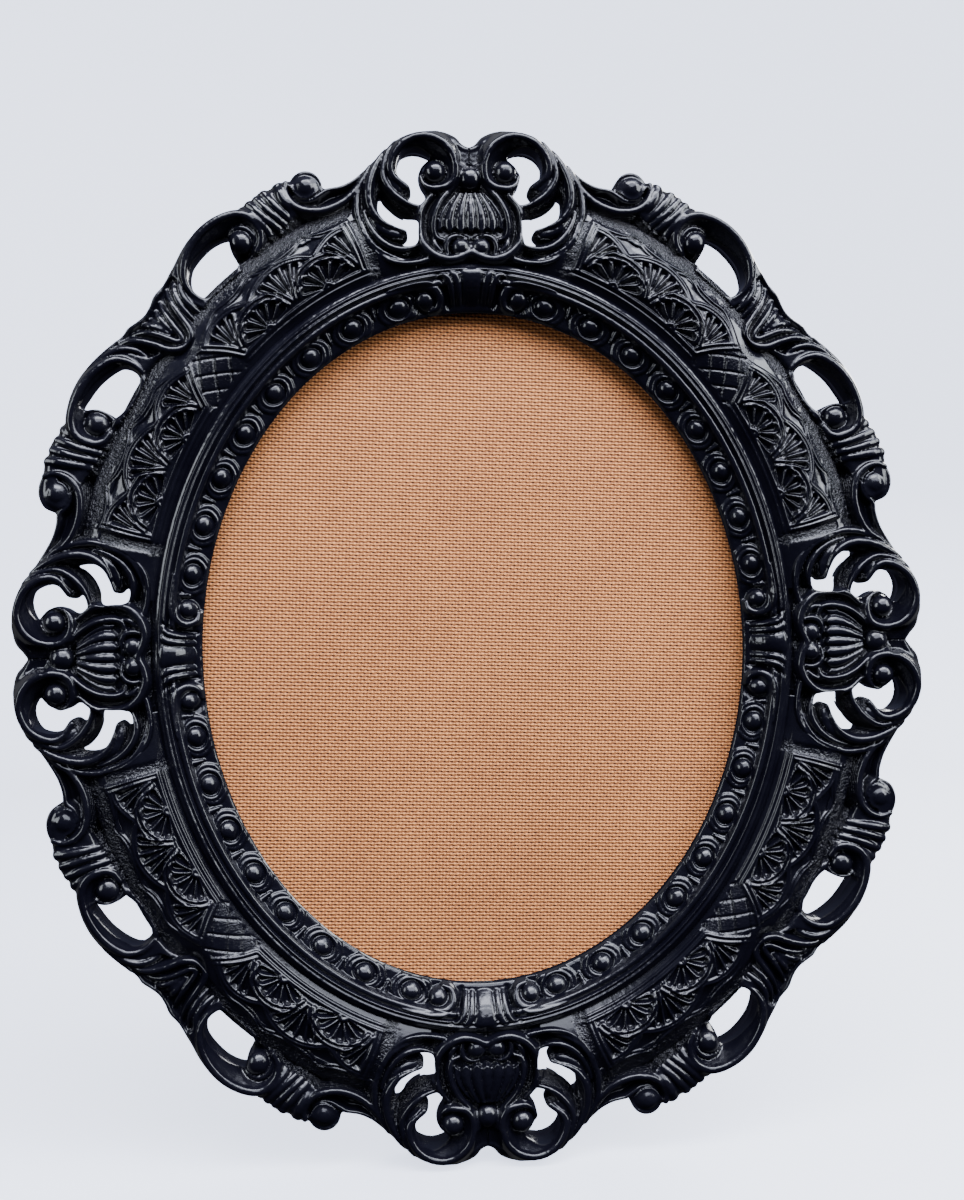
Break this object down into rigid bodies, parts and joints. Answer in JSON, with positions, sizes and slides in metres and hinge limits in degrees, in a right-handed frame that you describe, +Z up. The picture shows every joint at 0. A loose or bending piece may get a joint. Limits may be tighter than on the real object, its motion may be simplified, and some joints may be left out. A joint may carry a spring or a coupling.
{
  "type": "oval picture frame",
  "caption": "Ornamental oval wall frame: cast scroll moulding with pierced border, hardboard back held by turn buttons, and D-ring hangers for hanging upright or sideways.",
  "frame": {"origin": "centre of the oval, on the back plane that lies against the wall", "axes": "+X to the right as seen from the front, +Z up along the oval's long axis, +Y into the wall, so the ornamental front faces -Y"},
  "size_m": [0.3912, 0.027, 0.444],
  "materials": {
    "black_gloss_paint": "gloss black paint over a cast polymer moulding",
    "hardboard": "woven screen face to the front",
    "zinc_steel": "bright zinc plate"
  },
  "bodies": {
    "frame": {"frame_moulding": "black_gloss_paint", "backing_board": "hardboard", "turn_button_screws": "zinc_steel", "hanger_strap_top": "zinc_steel", "hanger_strap_side": "zinc_steel", "hanger_screws": "zinc_steel"},
    "turn_button_1": {"turn_button_1": "zinc_steel"},
    "turn_button_2": {"turn_button_2": "zinc_steel"},
    "turn_button_3": {"turn_button_3": "zinc_steel"},
    "turn_button_4": {"turn_button_4": "zinc_steel"},
    "turn_button_5": {"turn_button_5": "zinc_steel"},
    "turn_button_6": {"turn_button_6": "zinc_steel"},
    "ring_top": {"hanger_ring_top": "zinc_steel"},
    "ring_side": {"hanger_ring_side": "zinc_steel"}
  },
  "joints": [
    {"name": "turn_button_1_turn", "type": "hinge", "parent": "frame", "child": "turn_button_1", "pos_m": [0.0981, -0.0042, 0.10186], "axis": [0, 1, 0], "continuous": true},
    {"name": "turn_button_2_turn", "type": "hinge", "parent": "frame", "child": "turn_button_2", "pos_m": [-0.0981, -0.0042, 0.10186], "axis": [0, 1, 0], "continuous": true},
    {"name": "turn_button_3_turn", "type": "hinge", "parent": "frame", "child": "turn_button_3", "pos_m": [-0.129, -0.0042, 0], "axis": [0, 1, 0], "continuous": true},
    {"name": "turn_button_4_turn", "type": "hinge", "parent": "frame", "child": "turn_button_4", "pos_m": [-0.0981, -0.0042, -0.10186], "axis": [0, 1, 0], "continuous": true},
    {"name": "turn_button_5_turn", "type": "hinge", "parent": "frame", "child": "turn_button_5", "pos_m": [0, -0.0042, -0.1567], "axis": [0, 1, 0], "continuous": true},
    {"name": "turn_button_6_turn", "type": "hinge", "parent": "frame", "child": "turn_button_6", "pos_m": [0.0981, -0.0042, -0.10186], "axis": [0, 1, 0], "continuous": true},
    {"name": "top_ring_swing", "type": "hinge", "parent": "frame", "child": "ring_top", "pos_m": [0, -0.0025, 0.175], "axis": [1, 0, 0], "range_deg": [0, 180]},
    {"name": "side_ring_swing", "type": "hinge", "parent": "frame", "child": "ring_side", "pos_m": [0.1473, -0.0025, 0], "axis": [0, 0, -1], "range_deg": [0, 180]}
  ]
}
